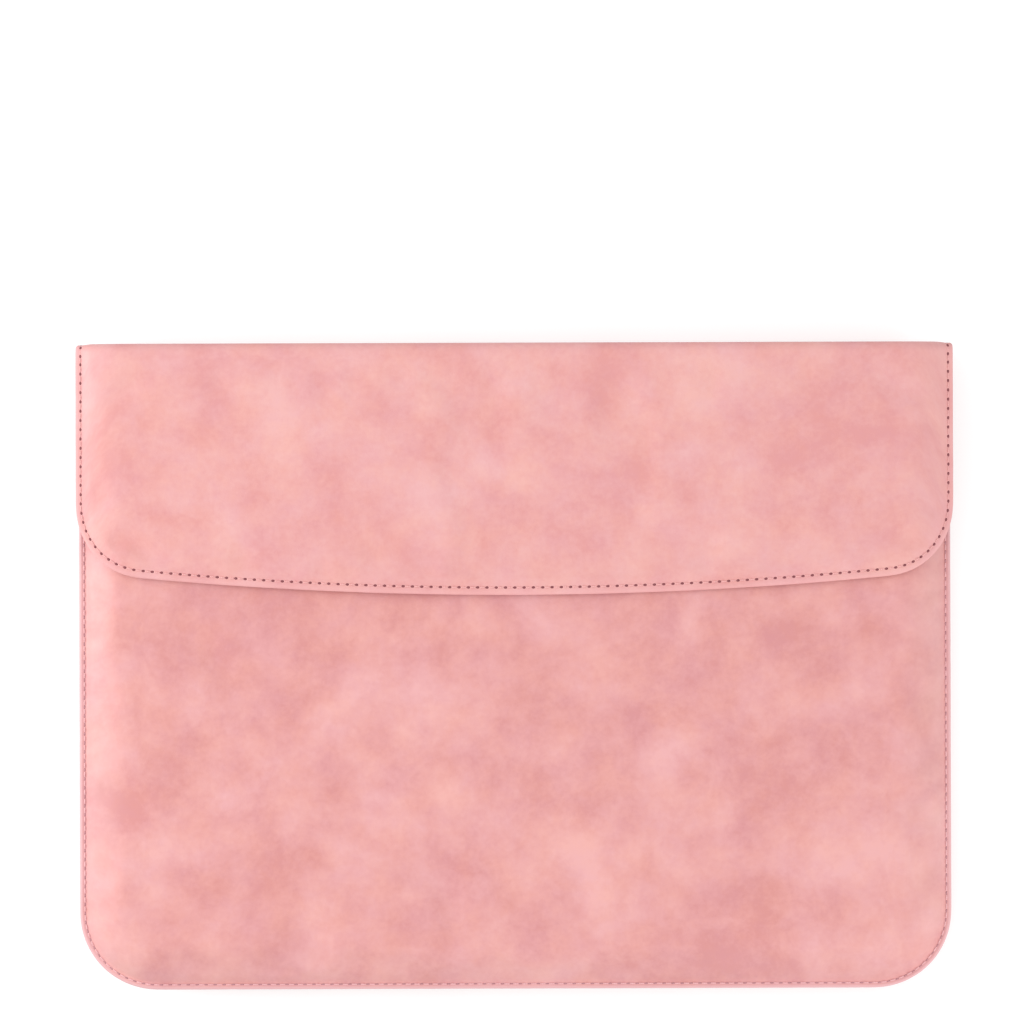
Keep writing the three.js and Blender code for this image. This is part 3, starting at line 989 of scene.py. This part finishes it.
def lining_finish():
    """Brushed microfibre."""
    finish = Finish("microfibre")
    where = finish.attribute("grain").outputs["Vector"]
    brushed = finish.noise(where, size=14 * MM, detail=4, rough=0.6, warp=0.5)
    fibres = finish.noise(where, size=0.5 * MM, detail=3, rough=0.7)
    colour = finish.blend(finish.span(brushed, 0.35, 0.65), srgb(188, 130, 136), srgb(206, 150, 154))
    colour = finish.blend(finish.span(fibres, 0.3, 0.7, 0, 0.3), colour, srgb(176, 118, 124))
    finish.surface(Base_Color=colour, Roughness=finish.span(brushed, 0.35, 0.65, 0.9, 0.98),
                   Normal=finish.bump(fibres, 0.12 * MM), Specular_IOR_Level=0.2,
                   Sheen_Weight=0.3, Sheen_Roughness=0.4, Sheen_Tint=srgb(236, 190, 192))
    return finish.material


def thread_finish(name, light, dark):
    """Twisted sewing thread, with 5 turns from hole to hole, painted darker in the grooves of the twist as
    painted shade.
    """
    finish = Finish(name)
    part = finish.add("ShaderNodeSeparateXYZ", {"Vector": finish.attribute("grain").outputs["Vector"]})
    turn = finish.math("MULTIPLY_ADD", part.outputs["X"], 5.0, part.outputs["Y"])
    twist = finish.math("PINGPONG", turn, 0.5)
    # Painted shade: darker where the twist's bump is low, in the grooves between its turns
    colour = finish.blend(finish.span(twist, 0, 0.5), dark, light)
    finish.surface(Base_Color=colour, Roughness=finish.span(twist, 0, 0.5, 0.8, 0.62),
                   Normal=finish.bump(twist, 0.12 * MM), Sheen_Weight=0.15)
    return finish.material


def hole_shade_finish(name, colour, edge_colour):
    """A needle hole painted with its shade, darkest in its middle, and not quite the same as the next."""
    finish = Finish(name)
    where = finish.attribute("grain").outputs["Vector"]
    from_middle = finish.add("ShaderNodeSeparateXYZ", {"Vector": where}).outputs["Z"]
    shade = finish.noise(where, size=0.8, detail=2)
    mixed = finish.blend(finish.math("MULTIPLY", from_middle, 0.45), colour, edge_colour)
    finish.surface(Base_Color=finish.blend(finish.span(shade, 0.3, 0.7, 0, 0.25), mixed, edge_colour),
                   Roughness=finish.span(shade, 0.3, 0.7, 0.85, 0.98), Specular_IOR_Level=0.1)
    return finish.material


def foam_finish():
    """Open-cell foam, painted darker in the hollows of its cells as painted shade."""
    finish = Finish("foam")
    where = finish.attribute("grain").outputs["Vector"]
    cells = finish.add("ShaderNodeTexVoronoi", {"Vector": where, "Scale": 1 / (0.8 * MM)}).outputs["Distance"]
    tone = finish.noise(where, size=30 * MM)
    colour = finish.blend(finish.span(tone, 0.3, 0.7), srgb(226, 220, 208), srgb(240, 236, 226))
    # Painted shade: darker in the hollows of the cells, where the bump is low
    colour = finish.blend(finish.span(cells, 0, 0.4, 0.35, 0), colour, srgb(190, 182, 168))
    finish.surface(Base_Color=colour, Roughness=finish.span(tone, 0.3, 0.7, 0.88, 0.96),
                   Normal=finish.bump(cells, 0.15 * MM))
    return finish.material


def metal_finish(name, colour, roughness):
    """Plated steel with faint brushing and small marks."""
    finish = Finish(name)
    place_on = finish.add("ShaderNodeTexCoord", {}).outputs["Object"]
    stretched = finish.add("ShaderNodeMapping", {"Vector": place_on, "Scale": (1, 14, 1)}).outputs["Vector"]
    brushing = finish.noise(stretched, size=3 * MM, detail=4, rough=0.6)
    marks = finish.noise(place_on, size=2 * MM, detail=3, rough=0.7)
    tint = finish.blend(finish.span(marks, 0.35, 0.7), colour, srgb(150, 150, 154))
    finish.surface(Base_Color=tint, Metallic=1.0, Normal=finish.bump(brushing, 0.02 * MM),
                   Roughness=finish.span(brushing, 0.3, 0.7, roughness - 0.08, roughness + 0.12))
    return finish.material


def board_finish():
    """Pressed fibre board."""
    finish = Finish("fibre_board")
    place_on = finish.add("ShaderNodeTexCoord", {}).outputs["Object"]
    fibres = finish.noise(place_on, size=1.2 * MM, detail=4, rough=0.7, warp=1.5)
    tone = finish.noise(place_on, size=18 * MM)
    colour = finish.blend(finish.span(tone, 0.3, 0.7), srgb(82, 78, 75), srgb(98, 94, 90))
    colour = finish.blend(finish.span(fibres, 0.45, 0.7, 0, 0.5), colour, srgb(124, 118, 110))
    finish.surface(Base_Color=colour, Roughness=finish.span(fibres, 0.3, 0.7, 0.7, 0.85),
                   Normal=finish.bump(fibres, 0.05 * MM))
    return finish.material


def paint(piece, material):
    piece.data.materials.clear()
    piece.data.materials.append(material)


# Camera, light and floor

CAMERA_HEIGHT = 1.2  # above the seam plane
CAMERA_X = -1.0 * MM
CAMERA_Y = 60 * MM
CAMERA_ROLL = math.radians(-0.18)
VIEW_WIDTH = 399.8 * MM  # that the picture takes in at the seam plane
LOW_SKY = 0.62  # strength of the world's light at the horizon
HIGH_SKY = 1.1  # and from 30 degrees up
FLOOR_DROP = 0.1 * MM


def make_camera():
    data = bpy.data.cameras.new("camera")
    data.lens = data.sensor_width * CAMERA_HEIGHT / VIEW_WIDTH
    data.clip_start = 0.05
    camera = bpy.data.objects.new("camera", data)
    camera.location = (CAMERA_X, CAMERA_Y, SEAM_Z + CAMERA_HEIGHT)
    camera.rotation_euler = (0, 0, CAMERA_ROLL)
    bpy.context.scene.collection.objects.link(camera)
    bpy.context.scene.camera = camera


def make_light(name, place_at, size, power):
    """A square soft box that faces the sleeve."""
    data = bpy.data.lights.new(name, "AREA")
    data.shape = "SQUARE"
    data.size = size
    data.energy = power
    light = bpy.data.objects.new(name, data)
    light.location = place_at
    light.rotation_euler = (-Vector(place_at)).to_track_quat("-Z", "Y").to_euler()
    bpy.context.scene.collection.objects.link(light)


def make_world():
    """White light from all round, stronger from above."""
    world = bpy.data.worlds.new("studio")
    world.use_nodes = True
    tree = world.node_tree
    towards = tree.nodes.new("ShaderNodeTexCoord").outputs["Generated"]
    part = tree.nodes.new("ShaderNodeSeparateXYZ")
    tree.links.new(towards, part.inputs[0])
    brightness = tree.nodes.new("ShaderNodeMapRange")
    tree.links.new(part.outputs["Z"], brightness.inputs["Value"])
    for key, value in (("From Min", 0), ("From Max", 0.5), ("To Min", LOW_SKY), ("To Max", HIGH_SKY)):
        brightness.inputs[key].default_value = value
    tree.links.new(brightness.outputs["Result"], tree.nodes["Background"].inputs["Strength"])
    tree.nodes["Background"].inputs["Color"].default_value = (1, 1, 1, 1)
    bpy.context.scene.world = world


def make_floor():
    bpy.ops.mesh.primitive_plane_add(size=8, location=(0, 0, -FLOOR_DROP))
    floor = bpy.context.object
    floor.name = "floor"
    finish = Finish("pale_floor")
    finish.surface(Base_Color=(0.6, 0.6, 0.6, 1), Roughness=0.9, Specular_IOR_Level=0.1,
                   Emission_Color=(1, 1, 1, 1), Emission_Strength=0.45)
    paint(floor, finish.material)
    floor.visible_diffuse = False  # so that its brightness doesn't light the sleeve from below


# The sleeve, put together

make_camera()
bpy.context.scene.view_settings.view_transform = "Standard"
make_world()
make_light("key", (-1.0, 0.2, 0.28), size=0.5, power=6.0)
make_light("fill", (0.9, -0.8, 0.26), size=0.5, power=4.4)
make_floor()

# The wear colours are lighter and whiter than the leather: wear and a painted highlight
body_leather = leather_finish(
    "body_leather", BODY_TONES, rim_colour=srgb(223, 176, 179), rim_share=0.85,
    wear_and_painted_highlight_colour=srgb(216, 166, 162), mottle=0.165)
# The flap's leather is the body's, painted lighter where the light falls on the flap
flap_leather_painted_lighter = leather_finish(
    "flap_leather_painted_lighter", FLAP_TONES_PAINTED_LIGHTER, rim_colour=srgb(226, 170, 170), rim_share=0.5,
    wear_and_painted_highlight_colour=srgb(218, 160, 156), mottle=0.24, spine_tint=SPINE_TINT)
microfibre = lining_finish()
foam = foam_finish()
seam_thread = thread_finish("seam_thread", light=srgb(235, 186, 188), dark=srgb(221, 169, 174))
flap_thread = thread_finish("flap_thread", light=srgb(234, 176, 173), dark=srgb(216, 154, 153))
# The needle holes' colours are painted shade: the dark inside of each hole, darkest at its bottom
dark_hole_painted_shade = hole_shade_finish("stitch_hole_painted_shade", srgb(132, 74, 80), srgb(160, 100, 104))
faint_hole_painted_shade = hole_shade_finish("seam_stitch_hole_painted_shade", srgb(188, 134, 142), srgb(208, 156, 161))

front_cover = make_front_cover()
back_cover = make_back_cover()
flap_cover = make_flap_cover()
front_lining = make_front_lining()
back_lining = make_back_lining()
flap_lining = make_flap_lining()
facing = make_mouth_facing()
front_pad = make_pad("front_pad", "front_padding", ("keeper_left", "keeper_right"))
back_pad = make_pad("back_pad", "back_padding")

spine_end = BLEND_LOW_Y + FOLD_RADIUS * math.pi / 2 + ROW_PAST_BEND
front_line = BODY.outline(SEAM_STITCH_INSET, SEAM_STITCH_INSET, MOUTH_Y - ROW_TO_MOUTH)
back_line = BODY.outline(SEAM_STITCH_INSET, SEAM_STITCH_INSET, spine_end)
flap_line = FLAP.outline(FLAP_STITCH_INSET, FLAP_SIDE_STITCH_INSET, spine_end)
mouth_half = HALF_WIDTH - RIM_WIDTH - SLOPE_WIDTH
mouth_y = MOUTH_Y - MOUTH_STITCH_INSET
mouth_line = [(-mouth_half, mouth_y), (mouth_half, mouth_y)]
front_surface = Surface(front_cover)
front_row = sew("front_seam", front_surface, front_line, SEAM_PITCH, SEAM_HOLE)
back_row = sew("back_seam", Surface(back_cover), back_line, SEAM_PITCH, SEAM_HOLE)
flap_row = sew("flap_edge", Surface(flap_cover), flap_line, FLAP_PITCH, FLAP_HOLE)
mouth_row = sew("mouth", front_surface, mouth_line, SEAM_PITCH, MOUTH_HOLE)

for piece, material, slot in (
    (front_cover, body_leather, "leather"), (back_cover, body_leather, "leather"),
    (flap_cover, flap_leather_painted_lighter, "leather"), (facing, body_leather, "leather"),
    (front_lining, microfibre, "lining"), (back_lining, microfibre, "lining"),
    (flap_lining, microfibre, "lining"), (front_pad, foam, "padding"), (back_pad, foam, "padding"),
    (front_row[0], seam_thread, "thread"), (back_row[0], seam_thread, "thread"),
    (mouth_row[0], seam_thread, "thread"), (flap_row[0], flap_thread, "thread"),
    (front_row[1], faint_hole_painted_shade, "leather"), (back_row[1], faint_hole_painted_shade, "leather"),
    (mouth_row[1], faint_hole_painted_shade, "leather"), (flap_row[1], dark_hole_painted_shade, "leather"),
):
    paint(piece, material)

for piece, thickness in (
    (front_cover, LEATHER), (back_cover, LEATHER), (flap_cover, FLAP_LEATHER), (facing, LINING),
    (front_lining, LINING), (back_lining, LINING), (flap_lining, LINING),
):
    sharpen_boundary(piece)
    thicken(piece, thickness)

board = board_finish()
keeper_steel = metal_finish("keeper_steel", srgb(186, 188, 192), roughness=0.34)
magnet_plating = metal_finish("magnet_plating", srgb(206, 206, 208), roughness=0.24)
for node, material in (("flap_board", board), ("keeper_left", keeper_steel), ("keeper_right", keeper_steel),
                       ("flap_magnet_left", magnet_plating), ("flap_magnet_right", magnet_plating)):
    paint(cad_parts[node], material)

# The body that some pieces move with, and the imported parts that the pieces take the place of, which are
# hidden

for piece in (front_cover, facing, front_lining, front_pad, back_pad, *front_row, *mouth_row):
    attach(piece, "root")
for piece in (back_cover, *back_row):
    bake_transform(piece)
for piece in (flap_cover, *flap_row):
    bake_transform(piece)
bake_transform(back_lining)
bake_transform(flap_lining)

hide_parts("front_panel")
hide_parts("back_panel", "spine_panel")
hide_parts("flap_panel")
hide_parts("mouth_facing")
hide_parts("front_lining")
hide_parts("back_lining", "spine_lining")
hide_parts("flap_lining")
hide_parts("front_padding")
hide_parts("back_padding")
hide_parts("front_seam_thread")
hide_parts("back_seam_thread")
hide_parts("flap_thread")
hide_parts("mouth_thread")


# Flat sizes


def declare_sheet(panel, end_v):
    """Works out the size of a panel's flat pattern up to end_v, and does nothing with it."""
    panel.flat_area(end_v)


half_spine = FOLD_RADIUS * math.pi / 2 + float(spine_run(0))
leather_end = BLEND_LOW_Y + half_spine
lining_end = leather_end - LINING_FOLD_DEPTH
declare_sheet(BODY, MOUTH_Y)
declare_sheet(BODY, leather_end)
declare_sheet(FLAP, leather_end)
declare_sheet(POCKET, FACING_END_Y)
declare_sheet(POCKET, lining_end)
declare_sheet(FLAP_INSIDE, lining_end)
